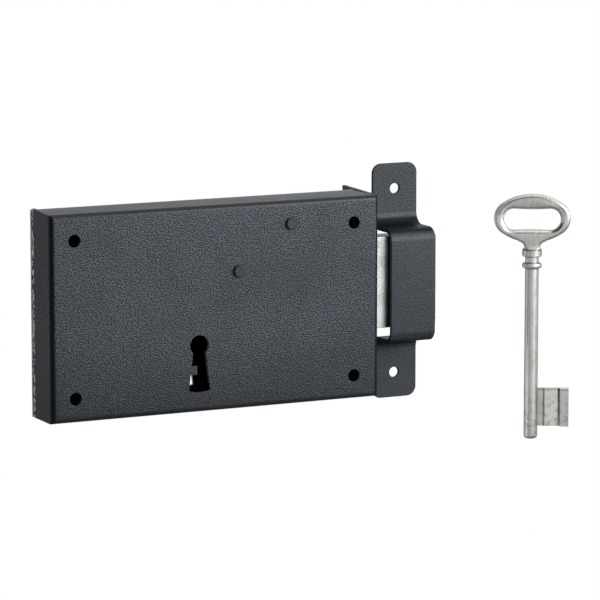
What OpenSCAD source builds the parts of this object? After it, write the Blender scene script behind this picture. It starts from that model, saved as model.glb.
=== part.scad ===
// Rim box lock: folded steel case with a dead bolt, one lever, a strap strike and a bit key.
// X runs along the bolt's throw, Z is up and the case's front faces -Y.
// The origin is the centre of the four case screws on the back face, against the door.

/* [Case] */
// Length of the case along the bolt
case_w = 140; // [130:1:160]
// Height of the case
case_h = 80.6; // [72:0.1:88]
// Depth of the case with its back plate
case_d = 20; // [19.5:0.5:23]
// Thickness of the folded case sheet
sheet = 1.5; // [1.2:0.1:1.7]
// Outside radius of the front folds
bend_r = 2; // [1.8:0.1:3]
// Reach of the forend lip behind the back plate
lip = 9.5; // [8:0.5:20]
// Rise of the end walls over the top wall at the back
end_rise = 0.6; // [0.2:0.1:1]
// Thickness of the back plate
back_t = 1.5; // [1:0.1:2]
// Gap between the back plate and the forend lip
back_gap = 0.3; // [0.1:0.1:1]

/* [Case screws] */
// Diameter of the case screw holes
screw_d = 5; // [4:0.1:6]
// Screw hole from the left end
screw_left = 10; // [8:0.5:14]
// Screw hole from the forend
screw_right = 11; // [9:0.5:14]
// Screw hole from the top
screw_top = 10.3; // [8:0.1:13]
// Screw hole from the bottom
screw_bottom = 9.3; // [8:0.1:11]
// Diameter of the screw holes in the forend lip
lip_screw_d = 4.5; // [3.5:0.1:5]
// Spacing of the screw holes in the forend lip
lip_screw_dz = 58; // [50:1:66]

/* [Keyhole] */
// Key axis from the forend
key_backset = 78; // [76:0.5:80]
// Key axis below the case's middle
key_below = 14; // [13:0.5:15]
// Diameter of the keyhole's round end
keyhole_d = 8; // [7:0.1:9]
// Width of the keyhole slot at its neck
slot_neck = 4.8; // [4.6:0.1:6]
// Width of the keyhole slot at its foot
slot_foot = 9.2; // [8:0.1:10]
// Room between the key's bit and the end of the slot
bit_room = 3; // [2:0.1:3.4]
// Near edge of the ward tab from the key axis
tab_near = 8; // [7:0.1:9]
// Far edge of the ward tab from the key axis
tab_far = 11.5; // [10:0.1:12]
// Distance of the ward tab's tip from the key axis
tab_tip = 0.95; // [0.7:0.05:1.2]
// Extra room round the keyhole in the back plate
back_keyhole_room = 1.2; // [0.3:0.1:1.6]

/* [Posts] */
// Bolt guide post from the forend
guide_backset = 61; // [60:0.5:62]
// Bolt guide post below the bolt head's top
guide_under = 8.7; // [7.9:0.1:9.5]
// Lever post from the forend
pivot_backset = 38.5; // [37:0.5:40]
// Lever post below the case top
pivot_under = 9; // [8.5:0.1:9.6]
// Diameter of the posts
post_d = 7; // [6:0.1:7.5]
// Diameter of the posts' shoulders and of their spacers
shoulder_d = 10; // [9:0.1:10.5]
// Diameter of the tenons riveted through the case front
tenon_d = 4; // [3:0.1:4.2]
// Diameter of the rivet heads on the case front
rivet_d = 4.8; // [4.4:0.1:6]
// Height of the rivet heads
rivet_h = 1.2; // [0.4:0.1:1.6]

/* [Bolt] */
// Thickness of the bolt head
bolt_t = 9; // [8:0.2:10]
// Bolt head's top below the lever's boss
bolt_under = 2.6; // [2.4:0.1:3.6]
// Bolt head's lower edge above the key axis
bolt_over = 0.1; // [0:0.1:1]
// Reach of the thrown bolt out of the forend
bolt_out = 28.8; // [28:0.1:36]
// Travel of the bolt
throw = 25; // [23:0.5:25.5]
// Length of the bolt head left inside when thrown
bolt_in = 29.5; // [26:0.5:30]
// Chamfer round the bolt's end
bolt_chamfer = 1; // [0.3:0.1:2]
// Thickness of the bolt tail plate
tail_t = 3; // [2:0.1:3.5]
// Depth of the tail plate's seat in the bolt head
tail_seat = 13; // [11:0.5:16]
// Tail's lower edge above the key axis
tail_rise = 9; // [8.4:0.2:9.6]
// Tail's top edge below the bolt head's top
tail_fall = 0.3; // [0.1:0.1:1]
// Room behind the tail when the bolt is drawn back
tail_room = 2.5; // [1:0.5:5]
// Width of the talon notch
talon_w = 8; // [7:0.1:9]
// Diameter of the tail rivets
tail_rivet_d = 4; // [3:0.1:5]
// Spacing of the tail rivets
tail_rivet_dz = 14; // [10:0.5:15]

/* [Lever] */
// Thickness of the lever
lever_t = 2; // [1.5:0.1:2.2]
// Swing of the lever over the bolt's travel, in degrees
swing = 6; // [5.6:0.1:6.4]
// Radius of the lever's boss
boss_r = 6; // [5.5:0.1:6.3]
// Diameter of the stump on the bolt tail
stump_d = 4; // [3.5:0.1:4.2]
// Stump behind the key axis when thrown
stump_back = 4.5; // [4:0.1:5.5]
// Stump below the guide post's axis
stump_under = 0.5; // [0:0.1:1]
// Thickness of the bar between the lever's pockets
gate_bar = 2.5; // [2:0.1:3]
// Thickness of the lever's leaf spring
leaf_t = 0.5; // [0.4:0.05:0.6]
// Width of the lever's leaf spring
leaf_w = 3; // [2.2:0.1:3.4]
// Length of the leaf spring's free part
leaf_len = 36; // [32:0.5:40]

/* [Strike] */
// Width of the strike
strike_w = 19.8; // [16:0.2:24]
// Height of the strike over its flanges
strike_h = 95; // [94:0.2:104]
// Thickness of the strike
strike_t = 1.5; // [1.2:0.1:2]
// Gap between the forend and the strike
strike_gap = 6.6; // [3:0.1:8]
// Bridge's outside top above the bolt's top
bridge_over = 2.8; // [2.7:0.1:3.5]
// Bridge's outside bottom below the bolt's lower edge
bridge_under = 6.4; // [2.7:0.1:6.8]
// Room between the bolt's front and the bridge
bridge_room = 2; // [1.3:0.1:3]
// Inside radius of the bridge's front folds
bridge_fold = 3.3; // [1:0.1:3.5]
// Inside radius of the folds at the flanges
foot_fold = 5; // [2:0.1:5.5]
// Radius of the flanges' corners
strike_corner = 4; // [2:0.1:5]
// Diameter of the strike's screw holes
strike_screw_d = 4.1; // [3.6:0.1:5]
// Spacing of the strike's screw holes
strike_screw_dz = 74.6; // [72:0.2:78]

/* [Key] */
// Length of the key
key_len = 100.6; // [90:0.2:112]
// Diameter of the key's shaft
shaft_d = 5.6; // [5.2:0.1:6.2]
// Diameter of the key's collars
collar_d = 8.1; // [7.2:0.1:9]
// Reach of the bit from the key's axis
bit_r = 15.4; // [15:0.1:15.8]
// Height of the bit along the shaft
bit_h = 15.6; // [14:0.1:16.4]
// Thickness of the bit
bit_t = 4; // [3:0.1:4.2]
// Length of the shaft past the bit
pilot = 5.2; // [3:0.1:6]
// Width of the bow
bow_w = 31; // [29:0.2:36]
// Height of the bow
bow_h = 19.8; // [19:0.2:22]
// Thickness of the bow
bow_t = 4.2; // [3.4:0.1:5]
// Width of the bow's finger opening
open_w = 23; // [20:0.2:23.4]
// Height of the bow's finger opening at its middle
open_h = 8.2; // [7:0.1:9]
// Key's axis from the forend where it stands
key_stand = 74.9; // [60:0.1:100]
// Key's tip below the case bottom where it stands
key_drop = 25; // [0:0.1:40]
// Turn of the standing key towards the left, in degrees
key_turn = 28; // [0:1:40]

/* [Hidden] */
$fn = 96;

// Finishes
black = [0.16, 0.17, 0.18];
zinc = [0.74, 0.75, 0.75];
steel = [0.6, 0.61, 0.62];
nickel = [0.68, 0.67, 0.64];

// Clearances
eps = 0.01;
rivet_fit = 0.02;
run_fit = 0.05;
slide_gap = 0.2;
play = 0.4;
rest_gap = 0.15;
cut = 5;

// Case faces
screw_dx = case_w - screw_left - screw_right;
screw_dz = case_h - screw_top - screw_bottom;
x_left = -screw_dx / 2 - screw_left;
x_right = screw_dx / 2 + screw_right;
z_bottom = -screw_dz / 2 - screw_bottom;
z_top = screw_dz / 2 + screw_top;
y_front = -case_d;
y_in = y_front + sheet;
y_plate = -back_t;
z_ceiling = z_top - sheet;

// Axes across the case
key_x = x_right - key_backset;
key_z = (z_bottom + z_top) / 2 - key_below;
pivot_x = x_right - pivot_backset;
pivot_z = z_top - pivot_under;
bolt_z = [key_z + bolt_over, pivot_z - boss_r - bolt_under];
guide_x = x_right - guide_backset;
guide_z = bolt_z[1] - guide_under;

// Layers through the depth
y_mid = -case_d / 2;
y_bolt = [y_mid - bolt_t / 2, y_mid + bolt_t / 2];
y_tail = [y_mid - tail_t / 2, y_mid + tail_t / 2];
lever_gap = 0.5;
lever_back = y_tail[0] - lever_gap;
y_lever = [lever_back - lever_t, lever_back];

// Key
slot_reach = bit_r + bit_room;
groove_in_room = 2.6;
groove_in = tab_near - groove_in_room;
groove_out = tab_far + play;
groove_deep = bit_t / 2 - tab_tip + play;
groove_fall = 0.6;
groove_step = 0.7;
floor_in = groove_deep - groove_fall * groove_in_room / (groove_out - groove_in);
floor_out = floor_in + groove_fall;
web_deep = floor_in + groove_step;

// Bolt
bolt_h = bolt_z[1] - bolt_z[0];
head_back = x_right - bolt_in;
head_end = x_right + bolt_out;
tail_end = x_left + sheet + tail_room + throw;
tail_z = [key_z + tail_rise, bolt_z[1] - tail_fall];
talon_x = key_x + throw / 2;
talon_room = 1.9;
talon_top = key_z + bit_r + talon_room;
slot_h = post_d + 2 * slide_gap;
tail_rivet_x = head_back + tail_seat / 2;
tail_rivet_z = (tail_z[0] + tail_z[1]) / 2;
stump_x = key_x - stump_back;
stump_z = guide_z - stump_under;
stump_proud = 0.6;
stump_tenon_d = 0.7 * stump_d;

// Lever: a point of the case, seen from the lever when it has swung by an angle
function in_lever(p, a) =
  let (q = p - [pivot_x, pivot_z])
  [pivot_x + q.x * cos(a) - q.y * sin(a), pivot_z + q.x * sin(a) + q.y * cos(a)];
// The stump's path over the lever as the bolt draws back by s
function stump_path(s) = in_lever([stump_x - s, stump_z], swing * s / throw);

overlift = 1.5;
gate = stump_path(throw / 2);
gate_run = (gate_bar + stump_d) / 2;
gate_top = stump_path(throw / 2 - gate_run).y + stump_d / 2 + slide_gap;
gate_low = stump_path(throw / 2 + gate_run).y - stump_d / 2 - slide_gap;
pocket_top = stump_z + stump_d / 2 + rest_gap;
pocket_front = stump_x + stump_d / 2 + play;
pocket_back = stump_x - throw - stump_d / 2 - play;
pocket_front_low = gate_low - overlift;
pocket_back_low = stump_path(throw).y - stump_d / 2 - play;
belly = in_lever([key_x, key_z], swing / 2);
belly_r = bit_r + slide_gap / 2;
side_wall = 4.6;
low_wall = 7.8;
top_wall = 7.8;
post_room = 2.5;
bolt_room = 1.2;
shoulder_room = 0.8;
body_left = pocket_back - side_wall;
body_right = guide_x - shoulder_d / 2 - post_room;
body_low = pocket_back_low - low_wall;
body_top = pocket_top + top_wall;
arm_low = bolt_z[1] + bolt_room;

// Leaf spring: an arc that leaves a slit in the arm and lies along the case's ceiling at its tip
leaf_shift = 0.5;
leaf_fall = 0.4;
leaf_root_x = guide_x + leaf_shift;
leaf_tip_x = leaf_root_x - leaf_len;
leaf_tip_z = z_ceiling - run_fit - leaf_t / 2;
leaf_root_z = pivot_z - leaf_fall;
leaf_drop = leaf_tip_z - leaf_root_z;
leaf_r = (leaf_len * leaf_len + leaf_drop * leaf_drop) / (2 * leaf_drop);
leaf_seat = 4;

// Back plate screws
cap_screw_d = 3.9;
cap_hole_d = 4;
cap_head_d = 7.4;
cap_head_h = 1.3;
cap_screw_len = 8;

// Strike
strike_x = x_right + strike_gap;
bridge_top = bolt_z[1] + bridge_over;
bridge_h = bolt_h + bridge_over + bridge_under;
bridge_z = bridge_top - bridge_h / 2;
bridge_y = y_bolt[0] - bridge_room - strike_t;
fold_out = bridge_fold + strike_t;
foot_out = foot_fold + strike_t;

// A flat drawing in X and Z, made solid from one depth to another
module plate(y0, y1) {
  translate([0, y1, 0])
    rotate([90, 0, 0])
      linear_extrude(y1 - y0)
        children();
}

// A drawing in Y and Z, made solid along X
module along_x(x0, x1) {
  translate([x0, 0, 0])
    rotate([90, 0, 90])
      linear_extrude(x1 - x0)
        children();
}

// A round bar along Y
module rod(x, z, y0, y1, d) {
  translate([x, y1, z])
    rotate([90, 0, 0])
      cylinder(h = y1 - y0, d = d);
}

// A rectangle between two corners
module rect(a, b) {
  translate(a)
    square(b - a);
}

// A rectangle with all four corners round
module round_rect(a, b, r) {
  rect([a.x + r, a.y], [b.x - r, b.y]);
  rect([a.x, a.y + r], [b.x, b.y - r]);
  for (x = [a.x + r, b.x - r], y = [a.y + r, b.y - r])
    translate([x, y])
      circle(r);
}

// Section of a tray along its run: the two corners at the front are folds
module tray_section(lo, hi, front, back, r) {
  rect([lo, front + r], [hi, back]);
  rect([lo + r, front], [hi - r, front + r + eps]);
  for (u = [lo + r, hi - r])
    translate([u, front + r])
      circle(r);
}

// Box with folded front edges
module tray(x, z, front, back, r) {
  intersection() {
    translate([0, 0, z[0]])
      linear_extrude(z[1] - z[0])
        tray_section(x[0], x[1], front, back, r);
    along_x(x[0], x[1])
      rotate(90)
        mirror([0, 1, 0])
          tray_section(z[0], z[1], front, back, r);
  }
}

// Keyhole drawn about the key axis, with or without the ward tab
module keyhole(room, tab) {
  difference() {
    union() {
      circle(d = keyhole_d + 2 * room);
      intersection() {
        circle(slot_reach + room);
        polygon([
          [-slot_neck / 2 - room, 0],
          [slot_neck / 2 + room, 0],
          [slot_foot / 2 + room, -slot_reach - room],
          [-slot_foot / 2 - room, -slot_reach - room]
        ]);
      }
    }
    if (tab)
      rect([-slot_foot, -tab_far], [-tab_tip, -tab_near]);
  }
}

// The four case screw holes
module case_screw_holes(y0, y1) {
  for (x = [-screw_dx / 2, screw_dx / 2], z = [-screw_dz / 2, screw_dz / 2])
    rod(x, z, y0, y1, screw_d);
}

// End wall that stands a little over the top wall towards the back
module end_wall_rise(x0, back) {
  along_x(x0, x0 + sheet)
    polygon([
      [y_front + bend_r, z_top - sheet],
      [back, z_top - sheet],
      [back, z_top + end_rise],
      [y_front + bend_r, z_top]
    ]);
}

module lock_case() {
  color(black)
    difference() {
      union() {
        difference() {
          tray([x_left, x_right], [z_bottom, z_top], y_front, y_plate, bend_r);
          tray([x_left + sheet, x_right - sheet], [z_bottom + sheet, z_ceiling],
               y_in, cut, bend_r - sheet);
        }
        translate([x_right - sheet, y_mid, z_bottom])
          cube([sheet, lip - y_mid, case_h]);
        end_wall_rise(x_left, y_plate);
        end_wall_rise(x_right - sheet, lip);
      }
      case_screw_holes(y_front - cut, y_in + eps);
      translate([key_x, 0, key_z])
        plate(y_front - cut, y_in + eps)
          keyhole(0, true);
      for (p = [[guide_x, guide_z], [pivot_x, pivot_z]])
        rod(p.x, p.y, y_front - cut, y_in + eps, tenon_d + 2 * rivet_fit);
      translate([x_right - cut, y_bolt[0] - play, bolt_z[0] - play])
        cube([2 * cut, bolt_t + 2 * play, bolt_h + 2 * play]);
      for (z = [-lip_screw_dz / 2, lip_screw_dz / 2])
        translate([x_right - cut, lip / 2, z])
          rotate([0, 90, 0])
            cylinder(h = 2 * cut, d = lip_screw_d);
    }
}

module back_plate() {
  color(zinc)
    difference() {
      plate(y_plate, 0)
        rect([x_left, z_bottom], [x_right - sheet - back_gap, z_top]);
      case_screw_holes(y_plate - cut, cut);
      translate([key_x, 0, key_z])
        plate(y_plate - cut, cut)
          keyhole(back_keyhole_room, false);
      for (p = [[guide_x, guide_z], [pivot_x, pivot_z]]) {
        rod(p.x, p.y, y_plate - cut, cut, cap_hole_d);
        translate([p.x, 0, p.y])
          rotate([90, 0, 0])
            cylinder(h = cap_head_h, d1 = cap_head_d, d2 = cap_hole_d);
      }
    }
}

module back_plate_screws() {
  slot_w = 1;
  slot_deep = 0.7;
  color(zinc)
    for (p = [[guide_x, guide_z], [pivot_x, pivot_z]])
      translate([p.x, 0, p.y])
        rotate([90, 0, 0])
          difference() {
            union() {
              cylinder(h = cap_head_h, d1 = cap_head_d, d2 = cap_hole_d);
              cylinder(h = cap_screw_len, d = cap_screw_d);
            }
            translate([-cap_head_d, -slot_w / 2, -eps])
              cube([2 * cap_head_d, slot_w, slot_deep]);
          }
}

// Post riveted through the case front, with a shoulder up to a depth and a tapped back end
module post(x, z, y_shoulder) {
  tap_len = cap_screw_len - back_t + 1;
  rivet_bevel = 0.3;
  color(zinc)
    difference() {
      union() {
        rod(x, z, y_in, y_shoulder, shoulder_d);
        rod(x, z, y_in, y_plate, post_d);
        rod(x, z, y_front - eps, y_in + eps, tenon_d);
        translate([x, y_front, z])
          rotate([90, 0, 0])
            rotate_extrude()
              polygon([
                [0, 0],
                [rivet_d / 2, 0],
                [rivet_d / 2, rivet_h - rivet_bevel],
                [rivet_d / 2 - rivet_bevel, rivet_h],
                [0, rivet_h]
              ]);
      }
      rod(x, z, y_plate - tap_len, cut, cap_hole_d);
    }
}

module bolt_guide_post() {
  post(guide_x, guide_z, y_tail[0] - slide_gap);
}

module lever_post() {
  post(pivot_x, pivot_z, y_lever[0] - slide_gap / 2);
}

// Sleeve on a post that takes up the room between a moving plate and the back plate
module spacer(x, z, y0) {
  color(zinc)
    difference() {
      rod(x, z, y0, y_plate, shoulder_d);
      rod(x, z, y0 - cut, cut, post_d + 2 * run_fit);
    }
}

module guide_spacer() {
  spacer(guide_x, guide_z, y_tail[1] + slide_gap);
}

module lever_spacer() {
  spacer(pivot_x, pivot_z, y_lever[1] + slide_gap / 2);
}

// Holes of the two tail rivets
module tail_rivet_rods(y0, y1, d) {
  for (z = [-tail_rivet_dz / 2, tail_rivet_dz / 2])
    rod(tail_rivet_x, tail_rivet_z + z, y0, y1, d);
}

module bolt_head() {
  c = bolt_chamfer;
  color(zinc)
    difference() {
      intersection() {
        translate([0, 0, bolt_z[0]])
          linear_extrude(bolt_h)
            polygon([
              [head_back, y_bolt[0]],
              [head_end - c, y_bolt[0]],
              [head_end, y_bolt[0] + c],
              [head_end, y_bolt[1] - c],
              [head_end - c, y_bolt[1]],
              [head_back, y_bolt[1]]
            ]);
        plate(y_bolt[0] - cut, y_bolt[1] + cut)
          polygon([
            [head_back, bolt_z[0]],
            [head_end - c, bolt_z[0]],
            [head_end, bolt_z[0] + c],
            [head_end, bolt_z[1] - c],
            [head_end - c, bolt_z[1]],
            [head_back, bolt_z[1]]
          ]);
      }
      plate(y_tail[0] - rivet_fit, y_tail[1] + rivet_fit)
        rect([head_back - cut, bolt_z[0] - cut], [head_back + tail_seat + rivet_fit, bolt_z[1] + cut]);
      tail_rivet_rods(y_bolt[0] - cut, y_bolt[1] + cut, tail_rivet_d + 2 * rivet_fit);
    }
}

module bolt_tail() {
  nose = 3;
  talon_r = 2;
  seat_end = head_back + tail_seat;
  slot_end = guide_x + throw;
  color(steel)
    difference() {
      plate(y_tail[0], y_tail[1])
        difference() {
          polygon([
            [tail_end, tail_z[0] + nose],
            [tail_end + nose, tail_z[0]],
            [seat_end, tail_z[0]],
            [seat_end, tail_z[1]],
            [tail_end + nose, tail_z[1]],
            [tail_end, tail_z[1] - nose]
          ]);
          // Talon notch that the key's bit works in
          round_rect([talon_x - talon_w / 2, tail_z[0] - cut], [talon_x + talon_w / 2, talon_top], talon_r);
          // Guide slot
          rect([guide_x, guide_z - slot_h / 2], [slot_end, guide_z + slot_h / 2]);
          for (x = [guide_x, slot_end])
            translate([x, guide_z])
              circle(d = slot_h);
        }
      tail_rivet_rods(y_tail[0] - cut, y_tail[1] + cut, tail_rivet_d + 2 * rivet_fit);
      rod(stump_x, stump_z, y_tail[0] - cut, y_tail[1] + cut, stump_tenon_d + 2 * rivet_fit);
    }
}

module bolt_rivets() {
  color(steel)
    tail_rivet_rods(y_bolt[0], y_bolt[1], tail_rivet_d);
}

module bolt_stump() {
  color(steel) {
    rod(stump_x, stump_z, y_lever[0] - stump_proud, y_tail[0], stump_d);
    rod(stump_x, stump_z, y_tail[0] - eps, y_tail[1], stump_tenon_d);
  }
}

// Strip of the leaf spring's arc, drawn in X and Z, from its tip to an X past its root
module leaf_arc(t, x_end) {
  turn = asin((x_end - leaf_tip_x) / leaf_r);
  translate([leaf_tip_x, leaf_tip_z - leaf_r])
    intersection() {
      difference() {
        circle(leaf_r + t / 2, $fn = 360);
        circle(leaf_r - t / 2, $fn = 360);
      }
      polygon([
        [0, 0],
        [2 * leaf_r * sin(turn), 2 * leaf_r * cos(turn)],
        [0, 2 * leaf_r]
      ]);
    }
}

module lever() {
  corner = 2;
  shoulder_cut = 4;
  blend = 0.4;
  arm_top = pivot_z - blend / 4;
  color(steel)
    difference() {
      union() {
        rod(pivot_x, pivot_z, y_lever[0], y_lever[1], 2 * boss_r);
        // Arm from the boss to the body, and the body with the pockets and the belly
        plate(y_lever[0], y_lever[1])
          difference() {
            polygon([
              [pivot_x, pivot_z - boss_r + blend],
              [guide_x + shoulder_d / 2, arm_low],
              [body_right, guide_z + shoulder_d / 2 + shoulder_room],
              [body_right, body_low],
              [body_left + corner, body_low],
              [body_left, body_low + corner],
              [body_left, body_top - corner],
              [body_left + corner, body_top],
              [body_right - shoulder_cut, body_top],
              [leaf_root_x, arm_top],
              [pivot_x, pivot_z + boss_r - blend]
            ]);
            translate(belly)
              circle(belly_r);
            // Front pocket, gate and back pocket
            rect([gate.x + gate_bar / 2, pocket_front_low], [pocket_front, pocket_top]);
            rect([gate.x - gate_bar, gate_low], [gate.x + gate_bar, gate_top]);
            rect([pocket_back, pocket_back_low], [gate.x - gate_bar / 2, pocket_top]);
            // Slit that holds the leaf spring's root
            leaf_arc(leaf_t + 2 * rivet_fit, leaf_root_x + leaf_seat + rivet_fit);
          }
      }
      rod(pivot_x, pivot_z, y_lever[0] - cut, y_lever[1] + cut, post_d + 2 * run_fit);
    }
}

module lever_spring() {
  y_leaf = (y_lever[0] + y_lever[1]) / 2;
  color(nickel)
    plate(y_leaf - leaf_w / 2, y_leaf + leaf_w / 2)
      leaf_arc(leaf_t, leaf_root_x + leaf_seat);
}

// Half of the strike's section in Y and Z, from the bridge's middle up to the flange's end
module strike_half_section() {
  top = bridge_h / 2;
  end = strike_h / 2;
  rect([bridge_y, -eps], [bridge_y + strike_t, top - fold_out]);
  translate([bridge_y + fold_out, top - fold_out])
    quarter(bridge_fold, fold_out, 2);
  rect([bridge_y + fold_out, top - strike_t], [-foot_out, top]);
  translate([-foot_out, top + foot_fold])
    quarter(foot_fold, foot_out, 4);
  rect([-strike_t, top + foot_fold], [0, end]);
}

// Quarter of a ring in one of the four quadrants
module quarter(r_in, r_out, quadrant) {
  rotate(90 * (quadrant - 1))
    intersection() {
      difference() {
        circle(r_out);
        circle(r_in);
      }
      square(r_out + 1);
    }
}

module strike() {
  color(black)
    translate([0, 0, bridge_z])
      difference() {
        intersection() {
          along_x(strike_x, strike_x + strike_w) {
            strike_half_section();
            mirror([0, 1, 0])
              strike_half_section();
          }
          plate(bridge_y - cut, cut)
            round_rect([strike_x, -strike_h / 2], [strike_x + strike_w, strike_h / 2], strike_corner);
        }
        for (z = [-strike_screw_dz / 2, strike_screw_dz / 2])
          rod(strike_x + strike_w / 2, z, -cut, cut, strike_screw_d);
      }
}

// Oval of four arcs with half axes a and b; its round ends, of radius r, lap a little over the long arcs
module oval(a, b, r) {
  lap = 0.05;
  flat = b - r + lap;
  c = ((a - r) * (a - r) - flat * flat) / (2 * flat);
  big = b + c;
  join_x = (a - r) * big / (big - r + lap);
  intersection() {
    translate([0, -c])
      circle(big, $fn = 180);
    translate([0, c])
      circle(big, $fn = 180);
    square([2 * join_x, 4 * b], center = true);
  }
  for (s = [-1, 1])
    translate([s * (a - r), 0])
      circle(r);
}

// Outline of the bow about its own centre, with coves that run down into the neck over the collar
module bow_outline(neck_w, neck_len) {
  end_r = 0.37 * bow_h;
  overlap = 1.2;
  cove_r = 2.4;
  cove_fall = 2;
  bite = 0.05;
  low = -bow_h / 2;
  cove_x = neck_w / 2 + cove_r - bite;
  oval(bow_w / 2, bow_h / 2, end_r);
  difference() {
    union() {
      rect([-cove_x, low - cove_fall], [cove_x, low + overlap]);
      rect([-neck_w / 2, low - neck_len], [neck_w / 2, low]);
    }
    for (s = [-1, 1])
      translate([s * cove_x, low - cove_fall])
        circle(cove_r);
  }
}

// Finger opening of the bow: a long hole with round ends, between bars that swell a little in the middle
module bow_opening() {
  open_fall = 0.4;
  swell = 0.3;
  bar_r = 90;
  side_flat = 0.4;
  half_h = open_h / 2 + swell;
  translate([0, -open_fall])
    difference() {
      round_rect([-open_w / 2, -half_h], [open_w / 2, half_h], half_h - side_flat / 2);
      for (s = [-1, 1])
        translate([0, s * (open_h / 2 + bar_r)])
          circle(bar_r, $fn = 360);
    }
}

module key() {
  tip_r = 1.4;
  neck_len = 3;
  neck_room = 0.5;
  collar_h = 2.6;
  collar_bevel = 0.3;
  line_h = 0.35;
  line_deep = 0.4;
  bell_h = 1.1;
  bell_room = 0.2;
  groove_h = 2.6;
  ring_h = 2.3;
  ring_r = 1;
  bow_z = key_len - bow_h / 2;
  collar_top = key_len - bow_h - neck_len;
  collar_low = collar_top - collar_h;
  line_top = collar_top + line_h;
  bell_r = collar_d / 2 - bell_room;
  ring_z = collar_low - groove_h - ring_h;
  color(nickel)
    translate([x_right + key_stand, y_mid, z_bottom - key_drop])
      rotate(-key_turn) {
        // Shaft with a rounded tip and a ring
        rotate_extrude() {
          rect([0, tip_r], [shaft_d / 2, collar_top]);
          rect([0, 0], [shaft_d / 2 - tip_r, tip_r + eps]);
          translate([shaft_d / 2 - tip_r, tip_r])
            intersection() {
              circle(tip_r);
              translate([0, -tip_r])
                square(tip_r + eps);
            }
          rect([0, ring_z], [collar_d / 2 - ring_r, ring_z + ring_h]);
          rect([0, ring_z + ring_r], [collar_d / 2, ring_z + ring_h - ring_r]);
          for (z = [ring_z + ring_r, ring_z + ring_h - ring_r])
            translate([collar_d / 2 - ring_r, z])
              circle(ring_r);
          // Collar, a fine line over it and a bell up to the bow's neck
          polygon([
            [0, collar_low],
            [collar_d / 2 - collar_bevel, collar_low],
            [collar_d / 2, collar_low + collar_bevel],
            [collar_d / 2, collar_top],
            [bell_r - line_deep, collar_top],
            [bell_r - line_deep, line_top],
            [bell_r, line_top],
            [bow_t / 2 + bell_room, line_top + bell_h],
            [0, line_top + bell_h]
          ]);
        }
        // Bow
        translate([0, 0, bow_z])
          plate(-bow_t / 2, bow_t / 2)
            difference() {
              bow_outline(shaft_d + 2 * neck_room, neck_len + eps);
              bow_opening();
            }
        // Bit with a web by the shaft and the groove that passes the keyhole's ward tab
        translate([0, 0, pilot])
          linear_extrude(bit_h)
            polygon([
              [0, web_deep - bit_t / 2],
              [groove_in, web_deep - bit_t / 2],
              [groove_in, floor_in - bit_t / 2],
              [groove_out, floor_out - bit_t / 2],
              [groove_out, -bit_t / 2],
              [bit_r, -bit_t / 2],
              [bit_r, bit_t / 2],
              [0, bit_t / 2]
            ]);
      }
}

lock_case();
back_plate();
back_plate_screws();
bolt_guide_post();
lever_post();
guide_spacer();
lever_spacer();
bolt_head();
bolt_tail();
bolt_rivets();
bolt_stump();
lever();
lever_spring();
strike();
key();
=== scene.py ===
from math import asin, cos, radians, sin

import bpy
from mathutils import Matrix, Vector


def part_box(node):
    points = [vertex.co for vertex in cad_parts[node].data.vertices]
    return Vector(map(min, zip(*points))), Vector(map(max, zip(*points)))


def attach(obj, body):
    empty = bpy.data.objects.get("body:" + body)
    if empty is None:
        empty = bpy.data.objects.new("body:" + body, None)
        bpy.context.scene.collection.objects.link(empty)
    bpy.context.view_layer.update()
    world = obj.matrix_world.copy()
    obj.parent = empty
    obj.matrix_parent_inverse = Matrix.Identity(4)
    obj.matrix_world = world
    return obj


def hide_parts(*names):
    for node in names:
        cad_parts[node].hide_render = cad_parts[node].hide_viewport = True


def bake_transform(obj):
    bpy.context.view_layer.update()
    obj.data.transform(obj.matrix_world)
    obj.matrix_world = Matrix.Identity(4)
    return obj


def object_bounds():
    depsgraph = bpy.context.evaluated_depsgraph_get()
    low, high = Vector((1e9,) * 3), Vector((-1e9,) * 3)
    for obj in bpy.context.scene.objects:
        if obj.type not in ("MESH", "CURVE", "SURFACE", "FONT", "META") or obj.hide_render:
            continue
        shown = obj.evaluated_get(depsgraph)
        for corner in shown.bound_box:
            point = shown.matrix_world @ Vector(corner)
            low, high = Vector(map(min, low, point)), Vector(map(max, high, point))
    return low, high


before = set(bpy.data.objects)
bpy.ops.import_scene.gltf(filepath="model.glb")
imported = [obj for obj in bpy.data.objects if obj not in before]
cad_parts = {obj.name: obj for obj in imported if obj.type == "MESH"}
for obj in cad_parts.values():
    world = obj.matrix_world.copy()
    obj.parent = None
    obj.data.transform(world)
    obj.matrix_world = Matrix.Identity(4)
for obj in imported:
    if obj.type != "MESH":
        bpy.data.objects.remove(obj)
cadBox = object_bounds()
mm = 0.001


class Num:
    # a number socket, so that 1 - mask or mask * 0.5 adds its own Math node
    def __init__(self, nodes, socket):
        self.nodes = nodes
        self.socket = socket

    def math(self, operation, first, second=0.0):
        made = self.nodes.add("ShaderNodeMath", {"operation": operation}, {0: first, 1: second})
        return self.nodes.num(made)

    def __add__(self, other):
        return self.math("ADD", self, other)

    __radd__ = __add__

    def __sub__(self, other):
        return self.math("SUBTRACT", self, other)

    def __rsub__(self, other):
        return self.math("SUBTRACT", other, self)

    def __mul__(self, other):
        return self.math("MULTIPLY", self, other)

    __rmul__ = __mul__

    def least(self, other):
        return self.math("MINIMUM", self, other)

    def most(self, other):
        return self.math("MAXIMUM", self, other)

    def size(self):
        return self.math("ABSOLUTE", self)

    # 0 below start and 1 above end, with a soft change between them
    def ramp(self, start, end):
        made = self.nodes.add("ShaderNodeMapRange", {"interpolation_type": "SMOOTHSTEP"},
                              {"Value": self, "From Min": start, "From Max": end})
        return self.nodes.num(made)

    # 1 within the inner distance of a level and 0 beyond the outer one
    def near(self, level, inner, outer):
        return 1 - (self - level).size().ramp(inner, outer)


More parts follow.
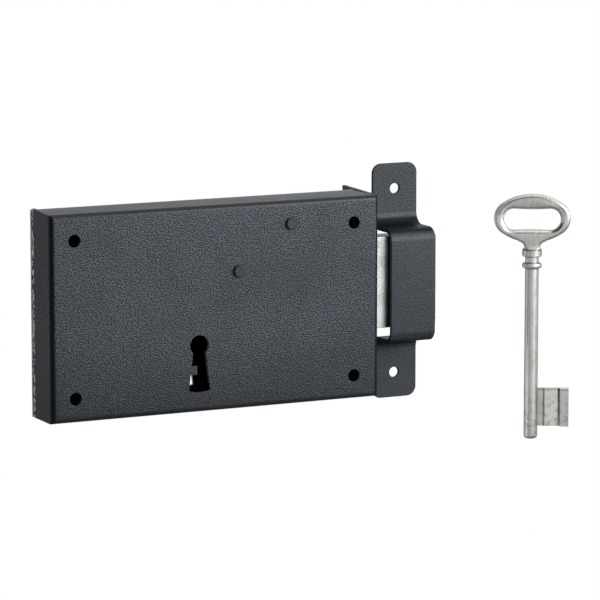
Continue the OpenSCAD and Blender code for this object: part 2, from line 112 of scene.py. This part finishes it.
class Nodes:
    # a node tree and the place that its patterns are drawn on
    def __init__(self, tree, coordinates):
        self.tree = tree
        self.place = self.add("ShaderNodeTexCoord").outputs[coordinates]

    def add(self, kind, settings={}, sockets={}):
        node = self.tree.nodes.new(kind)
        for key, value in settings.items():
            setattr(node, key, value)
        for key, value in sockets.items():
            self.link(node.inputs[key], value)
        return node

    def link(self, socket, value):
        if isinstance(value, Num):
            value = value.socket
        if isinstance(value, bpy.types.NodeSocket):
            self.tree.links.new(value, socket)
        else:
            socket.default_value = value

    def num(self, node, output=0):
        return Num(self, node.outputs[output])


class Look(Nodes):
    # one material with its Principled shader
    def __init__(self, name, metallic=0.0, tint=(1.0, 1.0, 1.0)):
        self.material = bpy.data.materials.new(name)
        self.material.use_nodes = True
        super().__init__(self.material.node_tree, "Object")
        self.shader = self.tree.nodes["Principled BSDF"]
        self.put("Metallic", metallic)
        self.put("Specular Tint", (*tint, 1.0))
        split = self.add("ShaderNodeSeparateXYZ", {}, {0: self.place})
        self.x, self.y, self.z = (self.num(split, i) for i in range(3))

    def put(self, name, value):
        self.link(self.shader.inputs[name], value)

    def stretched(self, scale):
        return self.add("ShaderNodeMapping", {}, {"Vector": self.place, "Scale": scale}).outputs[0]

    # noise with features of about the given size in metres
    def noise(self, size, detail=2.0, rough=0.5, place=None):
        made = self.add("ShaderNodeTexNoise", {}, {"Vector": place or self.place, "Scale": 1 / size,
                                                   "Detail": detail, "Roughness": rough})
        return self.num(made, "Fac")

    # a number for each cell of a broken-up surface
    def cells(self, size):
        made = self.add("ShaderNodeTexVoronoi", {}, {"Vector": self.place, "Scale": 1 / size})
        return self.num(self.add("ShaderNodeSeparateColor", {}, {0: made.outputs["Color"]}))

    def mix(self, share, first, second):
        made = self.add("ShaderNodeMix", {"data_type": "RGBA"}, {0: share, 6: first, 7: second})
        return made.outputs[2]

    # bump from a height that runs from 0 to 1 over a depth in metres
    def bump(self, height, depth, under=None):
        sockets = {"Distance": depth, "Height": height}
        if under:
            sockets["Normal"] = under
        return self.add("ShaderNodeBump", {}, sockets).outputs["Normal"]


def shade(value, tint=(1.0, 1.0, 1.0)):
    return (value * tint[0], value * tint[1], value * tint[2], 1.0)


# black powder coat: leathery on the case, smoother on the strike
caseLo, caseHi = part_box("lock_case")
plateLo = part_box("back_plate")[0]
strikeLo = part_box("strike")[0]
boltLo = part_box("bolt_head")[0]
coolBlack = (0.84, 1.0, 1.2)
caseCoat = {
    "dark": shade(0.003, coolBlack),
    "pale": shade(0.068, coolBlack),
    # tone of the painted shade on the folds, the inside, the strike's bends and the post heads' sides
    "fold": shade(0.004, coolBlack),
    "chipped": shade(0.75),
    "tint": (0.84, 0.91, 1.0),
    "grain": 0.5 * mm,
    "grainTones": (0.44, 0.57),   # noise values that turn dark and pale
    "stretch": (0.8, 1.0, 1.0),   # the grain runs a little along the case
    "depth": 0.2 * mm,
    "rough": 0.42,
    "cloud": 26 * mm,
    "cloudShare": 0.3,
    "foldWidth": 2.0 * mm,
    "foldMetal": 0.75,
    "topDrop": 0.6 * mm,          # the top fold starts under the box's top
    "lowRise": 36 * mm,
    "lowShare": 0.7,
    "wallGrain": 0.25,            # share of the grain that the walls keep
    "inside": (1.0 * mm, 1.4 * mm),   # depth under the outside
    "chip": 1.3 * mm,
    "chipTones": (0.47, 0.59),
    "chipBand": (-3.7 * mm, -3.2 * mm),
    "shadeAt": (),
}
strikeCoat = dict(
    caseCoat,
    dark=shade(0.014, coolBlack),
    pale=shade(0.036, coolBlack),
    depth=0.1 * mm,
    rough=0.44,
    foldWidth=0,
    # levels of the bridge's two bends, where shade is painted
    shadeAt=(26.4 * mm, -20.2 * mm),
    shadeReach=(1.6 * mm, 3.2 * mm),
    shadeFrom=(0.7 * mm, 2 * mm),   # depth from the bridge's front
    shadeMetal=0.6,
)


def caseShadeAndChips(look, spec, colour, height):
    # painted shade: the coat is darker towards the bottom, where less light falls
    low = 1 - (look.z - caseLo.z).ramp(0.0, spec["lowRise"])
    colour = look.mix(spec["lowShare"] * low, colour, spec["dark"])
    # smooth folds with painted shade, where the bends turn from the light: dark, and metallic at the two
    # ends, with calmer walls behind them
    width = spec["foldWidth"]
    inX = (look.x - caseLo.x).least(caseHi.x - look.x)
    inZ = (look.z - caseLo.z).least(caseHi.z - spec["topDrop"] - look.z)
    back = look.y - caseLo.y
    front = 1 - back.ramp(0.5 * width, 1.4 * width)
    fold = front * (1 - inX.least(inZ).ramp(0.3 * width, 1.25 * width))
    endFold = 1 - (inX + back).ramp(0.6 * width, 1.05 * width)
    colour = look.mix(fold.most(endFold), colour, spec["fold"])
    # painted shade on the inside, and chipped along the left wall's back edge
    inside = inX.least(inZ).least(back).ramp(*spec["inside"]) * (1 - look.y.ramp(-0.5 * mm, 0.0))
    colour = look.mix(inside, colour, spec["fold"])
    leftBack = (1 - (look.x - caseLo.x).ramp(0.3 * mm, 0.6 * mm)) * look.y.ramp(*spec["chipBand"])
    chips = leftBack * look.noise(spec["chip"], 2.0).ramp(*spec["chipTones"])
    colour = look.mix(chips, colour, spec["chipped"])
    look.put("Metallic", (spec["foldMetal"] * endFold).most(inside))
    height = height * (spec["wallGrain"] + (1 - spec["wallGrain"]) * front) * (1 - 0.7 * fold)
    return colour, height


# painted shade on top of and under the strike's bridge, up to its flanges, where its bends fall in shade
def strikeShade(look, spec, colour):
    above, below = (look.z.near(level, *spec["shadeReach"]) for level in spec["shadeAt"])
    darkMark = above.most(below) * (look.y - strikeLo.y).ramp(*spec["shadeFrom"])
    look.put("Metallic", spec["shadeMetal"] * darkMark)
    return look.mix(darkMark, colour, spec["fold"])


def coatLook(name, spec):
    look = Look(name, tint=spec["tint"])
    along = look.stretched(spec["stretch"])
    height = look.noise(spec["grain"], 0.0, 0.5, along)
    fine = look.noise(0.6 * spec["grain"], 1.0, 0.5, along)
    cloud = look.noise(spec["cloud"], 3.0)
    colour = look.mix(height.ramp(*spec["grainTones"]), spec["dark"], spec["pale"])
    colour = look.mix(spec["cloudShare"] * cloud.ramp(0.4, 0.7), colour, spec["dark"])
    if spec["foldWidth"]:
        colour, height = caseShadeAndChips(look, spec, colour, height)
    if spec["shadeAt"]:
        colour = strikeShade(look, spec, colour)
    look.put("Base Color", colour)
    look.put("Roughness", spec["rough"] + 0.08 * (cloud - 0.5) + 0.14 * (fine - 0.5))
    look.put("Normal", look.bump(height, spec["depth"]))
    return look


grainedCoat = coatLook("powder_coat_grained", caseCoat)
plainCoat = coatLook("powder_coat_plain", strikeCoat)

# zinc plate: dull spangled sheet, with painted shade on the inside of the back plate
sheetZinc = {
    "dark": shade(0.24, (0.98, 1.0, 1.0)),
    "pale": shade(0.86, (0.99, 1.0, 1.0)),
    "insideShade": shade(0.03),
    "insideShadeTo": (0.1 * mm, 0.3 * mm),   # depth from the plate's inside
    "spangle": 2.2 * mm,
    "speck": 0.7 * mm,
    "cloud": 14 * mm,
    "depth": 0.02 * mm,
    "rough": 0.4,
}


def zincLook(name, spec, tint=(1.0, 1.0, 1.0), shadedInside=False):
    look = Look(name, metallic=1.0, tint=tint)
    spangle = look.cells(spec["spangle"])
    speck = look.noise(spec["speck"], 3.0, 0.6)
    cloud = look.noise(spec["cloud"], 2.0)
    tone = 0.14 * spangle + 0.8 * speck + 0.3 * cloud - 0.12
    colour = look.mix(tone.ramp(0.25, 0.75), spec["dark"], spec["pale"])
    # painted shade on the plate's inside
    if shadedInside:
        inside = 1 - (look.y - plateLo.y).ramp(*spec["insideShadeTo"])
        colour = look.mix(inside, colour, spec["insideShade"])
    look.put("Base Color", colour)
    look.put("Roughness", spec["rough"] + 0.18 * (speck - 0.5) + 0.1 * (spangle - 0.5))
    look.put("Normal", look.bump(speck, spec["depth"]))
    return look


zinc = zincLook("zinc_plate", sheetZinc)
shadedZinc = zincLook("zinc_plate_shaded_inside", sheetZinc, shadedInside=True)

# bright zinc of the bolt, plain steel and spring steel: brushed along the height, with dark specks
boltZincTones = {
    "dark": shade(0.32, (0.97, 1.0, 1.0)),
    "pale": shade(0.74, (0.98, 1.0, 1.0)),
    "rough": 0.4,
}
steelTones = {
    "dark": shade(0.22, (1.0, 0.98, 0.95)),
    "pale": shade(0.46, (1.0, 0.99, 0.97)),
    "rough": 0.42,
}
springTones = {
    "dark": shade(0.10, (0.9, 0.95, 1.1)),
    "pale": shade(0.28, (0.95, 1.0, 1.08)),
    "rough": 0.3,
}
brushing = {
    "line": 0.35 * mm,
    "stretch": (1.0, 1.0, 0.06),
    "speck": 0.8 * mm,
    "cloud": 9 * mm,
    "depth": 0.025 * mm,
}
# painted shadow of the strike's wall on the bolt's front, wider lower down
boltShadow = {
    "tone": shade(0.03),
    "from": (75.2 * mm, 78.4 * mm),
    "to": (79.5 * mm, 83 * mm),
    "top": 22 * mm,
    "lean": 0.03,
    "depth": (0.2 * mm, 0.5 * mm),
}


def brushedLook(name, spec, paintedShadow=None):
    look = Look(name, metallic=1.0)
    line = look.noise(brushing["line"], 2.0, 0.6, look.stretched(brushing["stretch"]))
    speck = look.noise(brushing["speck"], 4.0, 0.65)
    cloud = look.noise(brushing["cloud"], 2.0)
    tone = 0.3 * line + 0.5 * speck + 0.35 * cloud
    colour = look.mix(tone.ramp(0.36, 0.66), spec["dark"], spec["pale"])
    if paintedShadow:
        # painted shadow of the strike's wall, on the front only
        leaning = look.x + paintedShadow["lean"] * (paintedShadow["top"] - look.z)
        mark = leaning.ramp(*paintedShadow["from"]) * (1 - look.x.ramp(*paintedShadow["to"]))
        onFront = 1 - (look.y - boltLo.y).ramp(*paintedShadow["depth"])
        colour = look.mix(mark * onFront * (0.4 + 0.7 * speck), colour, paintedShadow["tone"])
    look.put("Base Color", colour)
    look.put("Roughness", spec["rough"] + 0.2 * (line - 0.5) + 0.15 * (speck - 0.5))
    look.put("Normal", look.bump(0.6 * line + 0.4 * speck, brushing["depth"]))
    return look


boltZinc = brushedLook("bolt_zinc", boltZincTones, boltShadow)
steel = brushedLook("mild_steel", steelTones)
springSteel = brushedLook("spring_steel", springTones)

# zinc posts whose riveted heads were coated with the case
postCoat = {
    "dark": shade(0.012, coolBlack),
    "pale": shade(0.034, coolBlack),
    "coated": (0.4 * mm, 0.5 * mm),   # depth from the case's front
    # painted shade on the head's side, below its rim
    "side": (-1.0 * mm, -0.8 * mm),   # dark below the head's rim
}


def postLook(name, spec):
    look = zincLook(name, sheetZinc, caseCoat["tint"])
    depth = look.y - caseLo.y
    coated = 1 - depth.ramp(*spec["coated"])
    side = depth.ramp(*spec["side"])
    plain = look.shader.inputs["Base Color"].links[0].from_socket
    rough = Num(look, look.shader.inputs["Roughness"].links[0].from_socket)
    grain = look.noise(caseCoat["grain"], 1.0).ramp(0.4, 0.6)
    coat = look.mix(grain, spec["dark"], spec["pale"])
    # painted shade on the head's side
    coat = look.mix(side, coat, caseCoat["fold"])
    look.put("Base Color", look.mix(coated, plain, coat))
    look.put("Metallic", 1 - coated * (1 - side))
    look.put("Roughness", rough * (1 - coated) + coated * caseCoat["rough"])
    return look


coatedPost = postLook("coated_post", postCoat)

# the key: a broad round rim outside its bow, a bevel round the opening, and the places of its marks
keySize = {
    "turn": 28,
    "axis": (145.4 * mm, -10 * mm),
    "rim": 1.3 * mm,
    "rimSteps": 5,
    "opening": 1.3 * mm,
    "openingSteps": 3,
    "edge": 0.2 * mm,
    "bowThick": 4.2 * mm,
    "bowHalf": (15.5 * mm, 9.9 * mm),
    "neckLow": 22.6 * mm,      # below the top
    "openingMid": 10.3 * mm,   # below the top
    "openingLow": -4.5 * mm,   # from the bow's middle
    "openingEnd": (7.3 * mm, -0.4 * mm, 5.0 * mm),   # place and radius of its right end
    "shaft": (2.9 * mm, 3.2 * mm),
    "bitTop": 20.7 * mm,       # above the tip
    "groove": (5.5 * mm, 11.8 * mm),
    "shadeLines": ((2.7 * mm, 0.35), (5.3 * mm, 0.6), (11.4 * mm, 0.85)),   # reach on the bit, strength
    "collarLines": ((22.6 * mm, 0.55), (25.5 * mm, 0.5),   # below the top, strength
                    (28.0 * mm, 0.45), (30.4 * mm, 0.5)),
}
keyLo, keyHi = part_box("key")
bowFront = Vector((-sin(radians(keySize["turn"])), -cos(radians(keySize["turn"])), 0))

# nickel plated casting of the key, bare and brighter where its bit was milled
castNickelTones = {
    "pale": shade(0.82, (0.965, 1.0, 0.96)),
    "dark": shade(0.72, (0.965, 1.0, 0.94)),
    "stain": shade(0.30, (1.0, 0.95, 0.82)),
    "wear": shade(0.44, (1.0, 0.99, 0.76)),
    "milled": shade(0.97, (0.98, 1.0, 0.945)),
    # tone of the painted shade and of the dark marks
    "darkMark": shade(0.05, (1.0, 1.0, 0.75)),
    "rough": 0.30,
    "pit": 0.5 * mm,
    "pitDepth": 0.02 * mm,
    "skin": 1.6 * mm,
    "skinDepth": 0.03 * mm,
    "skinStretch": (1.0, 1.0, 0.2),
    "cloud": 12 * mm,
    "wearSize": 2.4 * mm,
    # strength of the painted highlights, painted shade and dark marks on the bit and the bow
    "topEdge": 0.45,
    "paintedHighlight": 0.7,
    "topShade": 0.16,
    "rim": 0.5,
    "corner": 0.85,
    "under": 0.4,
}


# squared distance from a point, as a share of an oval's half sizes
def roundAway(x, z, midX, midZ, halfX, halfZ):
    wide, high = (x - midX) * (1 / halfX), (z - midZ) * (1 / halfZ)
    return wide * wide + high * high


# the bit: milled bright in its groove, olive wear, more of it lower down, and painted shade along its top
# edge, where it meets the shaft and at its steps
def bitMarks(look, spec, colour, reach, facing, skin):
    rise, top = look.z - keyLo.z, keySize["bitTop"]
    onBit = facing * (1 - rise.ramp(top, top + 0.2 * mm))
    start, end = keySize["groove"]
    milled = onBit * reach.ramp(start, start + 0.2 * mm) * (1 - reach.ramp(end - 0.2 * mm, end))
    colour = look.mix(milled, colour, spec["milled"])
    worn = onBit * look.noise(spec["wearSize"], 3.0, 0.6).ramp(0.47, 0.64)
    lower = 1 - rise.ramp(0.4 * top, top)
    colour = look.mix(worn * (0.25 + 0.4 * lower), colour, spec["wear"])
    # painted shade along the bit's top edge
    topEdge = facing * rise.near(top - 0.35 * mm, 0.15 * mm, 0.4 * mm) * reach.ramp(*keySize["shaft"])
    colour = look.mix(spec["topEdge"] * topEdge, colour, spec["darkMark"])
    # painted shade where the bit meets the shaft and at its steps
    for line, strength in keySize["shadeLines"]:
        darkMark = onBit * reach.near(line, 0.15 * mm, 0.6 * mm) * (0.5 + skin)
        colour = look.mix(strength * darkMark, colour, spec["darkMark"])
    return colour


# the bow: painted highlights on the left and under its opening, painted shade on top and along its rim,
# and dark marks in a corner of the opening and below it
def bowMarks(look, spec, colour, reach):
    rise = look.z - (keyHi.z - keySize["bowHalf"][1])
    oval = roundAway(reach, rise, 0.0, 0.0, *keySize["bowHalf"])
    endX, endZ, endReach = keySize["openingEnd"]
    end = roundAway(reach, rise, endX, endZ, endReach, endReach)
    below = keySize["openingLow"] - rise
    middle = (1 - reach.size().ramp(endX - 1 * mm, endX)) * rise.ramp(-8.5 * mm, -8 * mm)
    lowBar = middle * below.ramp(-0.3 * mm, 0.2 * mm) * (1 - below.ramp(1.0 * mm, 1.3 * mm))
    # painted highlights on the left and on the bar under the opening
    paintedHighlight = (-1 * reach).ramp(8.5 * mm, 11.5 * mm).most(lowBar)
    colour = look.mix(spec["paintedHighlight"] * paintedHighlight, colour, spec["milled"])
    rightLow = (endZ - rise).ramp(0.5 * mm, 1.5 * mm) * reach.ramp(endX, endX + 1 * mm)
    # painted shade on top and along the rim; dark marks in a corner of the opening and below it
    marks = {
        "topShade": rise.ramp(3.6 * mm, 4.6 * mm) * (1 - oval.ramp(0.7, 0.8)),
        "rim": oval.near(0.8, 0.03, 0.1) * rise.ramp(0.0, 3 * mm),
        "corner": end.near(1, 0.08, 0.22) * rightLow,
        "under": middle * below.near(1.4 * mm, 0.15 * mm, 0.45 * mm),
    }
    for mark, share in marks.items():
        colour = look.mix(spec[mark] * share, colour, spec["darkMark"])
    return colour


def castLook(name, spec):
    look = Look(name, metallic=1.0)
    pits = look.noise(spec["pit"], 3.0, 0.6)
    skin = look.noise(spec["skin"], 3.0, 0.55, look.stretched(spec["skinStretch"]))
    cloud = look.noise(spec["cloud"], 2.0)
    colour = look.mix((0.5 * skin + 0.5 * cloud).ramp(0.38, 0.62), spec["dark"], spec["pale"])
    colour = look.mix(0.55 * pits.ramp(0.6, 0.78) * skin.ramp(0.42, 0.6), colour, spec["stain"])
    inX, inY = look.x - keySize["axis"][0], look.y - keySize["axis"][1]
    reach = -bowFront.y * inX + bowFront.x * inY
    facing = (bowFront.x * inX + bowFront.y * inY).ramp(-0.4 * mm, 0.0)
    colour = bitMarks(look, spec, colour, reach, facing, skin)
    colour = bowMarks(look, spec, colour, reach)
    # painted shade in the grooves of the collar
    for level, strength in keySize["collarLines"]:
        line = look.z.near(keyHi.z - level, 0.2 * mm, 0.45 * mm)
        colour = look.mix(strength * line, colour, spec["darkMark"])
    look.put("Base Color", colour)
    look.put("Roughness", spec["rough"] + 0.16 * (skin - 0.5) + 0.2 * (pits - 0.5))
    coarse = look.bump(skin, spec["skinDepth"])
    look.put("Normal", look.bump(pits, spec["pitDepth"], coarse))
    return look


castNickel = castLook("cast_nickel", castNickelTones)
print("finishes made:", len(bpy.data.materials))


def paint(piece, look):
    piece.data.materials.clear()
    piece.data.materials.append(look.material)


def alone(piece):
    bpy.ops.object.select_all(action="DESELECT")
    piece.select_set(True)
    bpy.context.view_layer.objects.active = piece


weldGap = 0.0005 * mm
flatAngle = 0.2
edgeAngle = 35


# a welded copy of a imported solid, with its flat faces made whole
def weldedCopy(node, name):
    piece = bpy.data.objects.new(name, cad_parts[node].data.copy())
    bpy.context.scene.collection.objects.link(piece)
    alone(piece)
    bpy.ops.object.mode_set(mode="EDIT")
    bpy.ops.mesh.select_all(action="SELECT")
    bpy.ops.mesh.customdata_custom_splitnormals_clear()
    bpy.ops.mesh.remove_doubles(threshold=weldGap)
    bpy.ops.mesh.dissolve_limited(angle_limit=radians(flatAngle))
    bpy.ops.object.mode_set(mode="OBJECT")
    return piece


# small round edges, with the flat faces kept flat beside them
def softenEdges(piece, width, steps):
    alone(piece)
    bpy.ops.object.shade_smooth_by_angle(angle=radians(edgeAngle))
    soft = piece.modifiers.new("edges", "BEVEL")
    soft.width = width
    soft.segments = steps
    soft.limit_method = "ANGLE"
    soft.angle_limit = radians(edgeAngle)
    soft.miter_outer = "MITER_ARC"
    soft.harden_normals = True
    bpy.ops.object.modifier_apply(modifier=soft.name)


def standsFor(piece, node, body, look):
    paint(piece, look)
    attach(piece, body)
    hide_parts(node)


softSpec = {
    # node: piece, edge radius, steps, body, slot, finish
    "lock_case": ("coated_case", 0.22 * mm, 2, "lock", "powder_black", grainedCoat),
    "back_plate": ("zinc_back_plate", 0.12 * mm, 2, "lock", "zinc_plate", shadedZinc),
    "bolt_guide_post": ("guide_post", 0.10 * mm, 2, "lock", "zinc_plate", coatedPost),
    "lever_post": ("pivot_post", 0.10 * mm, 2, "lock", "zinc_plate", coatedPost),
    "bolt_head": ("plated_bolt_head", 0.30 * mm, 3, "bolt", "zinc_bolt", boltZinc),
    "strike": ("coated_strike", 0.40 * mm, 3, "strike", "satin_black", plainCoat),
}
for node, (name, width, steps, body, slot, look) in softSpec.items():
    piece = weldedCopy(node, name)
    softenEdges(piece, width, steps)
    standsFor(piece, node, body, look)
    print("softened", name, len(piece.data.polygons), "faces")

bowTest = {"top": 0.1 * mm, "faceDepth": 0.02 * mm, "face": 0.99, "wall": 0.05}


# edges between a bow face and its outside or opening walls, above the collar
def selectBowEdges(piece, outside):
    alone(piece)
    bpy.ops.object.mode_set(mode="EDIT")
    bpy.ops.mesh.select_mode(type="EDGE")
    bpy.ops.mesh.select_all(action="DESELECT")
    bpy.ops.object.mode_set(mode="OBJECT")
    mesh = piece.data
    tops = [v.co for v in mesh.vertices if v.co.z > keyHi.z - bowTest["top"]]
    middle = sum(tops, Vector()) / len(tops)
    middle.z = keyHi.z - keySize["openingMid"]
    faces, walls = set(), {}
    for poly in mesh.polygons:
        if poly.center.z < keyHi.z - keySize["neckLow"]:
            continue
        facing = abs(poly.normal.dot(bowFront))
        depth = abs((poly.center - middle).dot(bowFront))
        offFace = abs(depth - keySize["bowThick"] / 2)
        if facing > bowTest["face"] and offFace < bowTest["faceDepth"]:
            faces.update(poly.edge_keys)
        elif facing < bowTest["wall"]:
            leads = poly.normal.dot(poly.center - middle) > 0
            walls.update((pair, leads) for pair in poly.edge_keys)
    chosen = 0
    for edge in mesh.edges:
        pair = tuple(sorted(edge.vertices))
        edge.select = pair in faces and walls.get(pair) == outside
        chosen += edge.select
    bpy.ops.object.mode_set(mode="EDIT")
    return chosen


def castKey():
    piece = weldedCopy("key", "cast_key")
    for outside, width, steps in ((True, keySize["rim"], keySize["rimSteps"]),
                                  (False, keySize["opening"], keySize["openingSteps"])):
        chosen = selectBowEdges(piece, outside)
        bpy.ops.mesh.bevel(offset=width, segments=steps, profile=0.5, affect="EDGES", clamp_overlap=False)
        bpy.ops.object.mode_set(mode="OBJECT")
        print("bow edges rounded:", chosen)
    softenEdges(piece, keySize["edge"], 2)
    return piece


key = castKey()
standsFor(key, "key", "key", castNickel)
print("key:", len(key.data.polygons), "faces")

# leaf spring: a strip spun about its arc's centre,
# held by the ceiling at its tip and by the lever at its root
leafSize = {
    "steps": 48,
    "thick": 0.5 * mm,
    "run": 36 * mm,
    "seat": 4 * mm,
    "rootZ": 31.4 * mm,
    "edge": 0.08 * mm,
    "weld": 0.001 * mm,
}
leafLo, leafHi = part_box("lever_spring")


def leafSpring():
    tipX, tipZ = leafLo.x, leafHi.z - leafSize["thick"] / 2
    midY = (leafLo.y + leafHi.y) / 2
    rootZ = leafSize["rootZ"]
    run, drop = leafSize["run"], tipZ - rootZ
    radius = (run * run + drop * drop) / (2 * drop)
    turn = asin((run + leafSize["seat"]) / radius)
    bpy.ops.object.select_all(action="DESELECT")
    bpy.ops.mesh.primitive_plane_add(size=1, location=(tipX, midY, tipZ), rotation=(0, radians(90), 0))
    piece = bpy.context.active_object
    piece.name = "leaf_spring"
    piece.scale = (leafSize["thick"], leafHi.y - leafLo.y, 1)
    bpy.ops.object.transform_apply(location=True, rotation=True, scale=True)
    bpy.ops.object.mode_set(mode="EDIT")
    bpy.ops.mesh.select_all(action="SELECT")
    bpy.ops.mesh.spin(steps=leafSize["steps"], angle=turn,
                      center=(tipX, midY, tipZ - radius), axis=(0, 1, 0))
    bpy.ops.mesh.select_all(action="SELECT")
    bpy.ops.mesh.remove_doubles(threshold=leafSize["weld"])
    bpy.ops.mesh.normals_make_consistent(inside=False)
    bpy.ops.object.mode_set(mode="OBJECT")
    softenEdges(piece, leafSize["edge"], 2)
    return piece


leaf = leafSpring()
paint(leaf, springSteel)
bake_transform(leaf)
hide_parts("lever_spring")
print("leaf spring:", len(leaf.data.polygons), "faces")

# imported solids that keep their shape
insideLooks = {
    "back_plate_screws": zinc,
    "guide_spacer": zinc,
    "lever_spacer": zinc,
    "bolt_tail": steel,
    "bolt_rivets": steel,
    "bolt_stump": steel,
    "lever": steel,
}
for node, look in insideLooks.items():
    paint(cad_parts[node], look)

# soft studio: a white floor, a white tent with brighter panels as the sky, and four softboxes at the front
floorSize = 14.0
floorDrop = 0.3 * mm   # under the part's lowest point
skyFill = 0.25   # the same from all sides
skyPanels = {
    # height angle: half angles where a panel starts and ends to fade, brightness by compass angle
    -10: (5, 30, {0: 0.16, 60: 0.5, 150: 0.32, 180: 0.43, 240: 0.27, 270: 0.09, 330: 0.13}),
    30: (8, 40, {45: 0.45}),
    62: (8, 36, {0: 0.23, 244: 0.5}),
    90: (12, 42, {0: 0.4}),
}
softboxes = {
    # place, width, height, watts
    "right": ((0.8, -0.6, 0.3), 0.6, 0.6, 3.7),
    "frontStrip": ((0.3, -0.55, 0.2), 0.8, 0.25, 2.6),
    "rightHigh": ((0.6, -0.45, 0.75), 0.6, 0.6, 1.1),
    "frontLow": ((0.45, -0.9, -0.05), 0.6, 0.6, 0.7),
}
softboxAim = Vector((0.0, 0.0, 0.02))
photoCamera = {
    "place": (-618.66 * mm, -1361.98 * mm, 236.92 * mm),
    "pitch": -8.967,
    "yaw": 25.997,
    "lens": 231.611,
    "sensor": 36,
    "clipStart": 0.05,
}


def layFloor():
    bpy.ops.object.select_all(action="DESELECT")
    bpy.ops.mesh.primitive_plane_add(size=floorSize, location=(0, 0, cadBox[0][2] - floorDrop))
    floor = bpy.context.active_object
    floor.name = "floor"
    look = Look("floor_white")
    look.put("Base Color", shade(0.0))
    look.put("Specular IOR Level", 0.0)
    look.put("Emission Color", shade(1.0))
    look.put("Emission Strength", 1.0)
    paint(floor, look)
    floor.visible_diffuse = False   # the sky's low panels light the part instead
    floor.visible_glossy = False


def studioSky(panels):
    world = bpy.data.worlds.new("studio")
    bpy.context.scene.world = world
    world.use_nodes = True
    sky = Nodes(world.node_tree, "Generated")
    light = skyFill
    for height, (inner, outer, ring) in panels.items():
        for compass, strength in ring.items():
            rise, turn = radians(height), radians(compass)
            direction = (cos(rise) * cos(turn), cos(rise) * sin(turn), sin(rise))
            toward = sky.num(sky.add("ShaderNodeVectorMath", {"operation": "DOT_PRODUCT"},
                                     {0: sky.place, 1: direction}), "Value")
            light = light + strength * toward.ramp(cos(radians(outer)), cos(radians(inner)))
    seen = sky.num(sky.add("ShaderNodeLightPath"), "Is Camera Ray")
    shown = world.node_tree.nodes["Background"]
    shown.inputs["Color"].default_value = (1, 1, 1, 1)
    sky.link(shown.inputs["Strength"], seen + (1 - seen) * light)


def hangSoftbox(name, place, width, height, watts):
    light = bpy.data.lights.new(name, "AREA")
    light.shape = "RECTANGLE"
    light.size, light.size_y = width, height
    light.energy = watts
    lamp = bpy.data.objects.new(name, light)
    bpy.context.scene.collection.objects.link(lamp)
    lamp.location = place
    lamp.rotation_euler = (softboxAim - Vector(place)).to_track_quat("-Z", "Y").to_euler()
    lamp.visible_camera = False


def setCamera(spec):
    camera = bpy.data.cameras.new("camera")
    camera.lens = spec["lens"]
    camera.sensor_width = spec["sensor"]
    camera.clip_start = spec["clipStart"]
    eye = bpy.data.objects.new("camera", camera)
    bpy.context.scene.collection.objects.link(eye)
    eye.location = spec["place"]
    eye.rotation_euler = (radians(90 + spec["pitch"]), 0, radians(-spec["yaw"]))
    bpy.context.scene.camera = eye
    bpy.context.scene.view_settings.view_transform = "Standard"


layFloor()
studioSky(skyPanels)
for name, spec in softboxes.items():
    hangSoftbox(name, *spec)
setCamera(photoCamera)
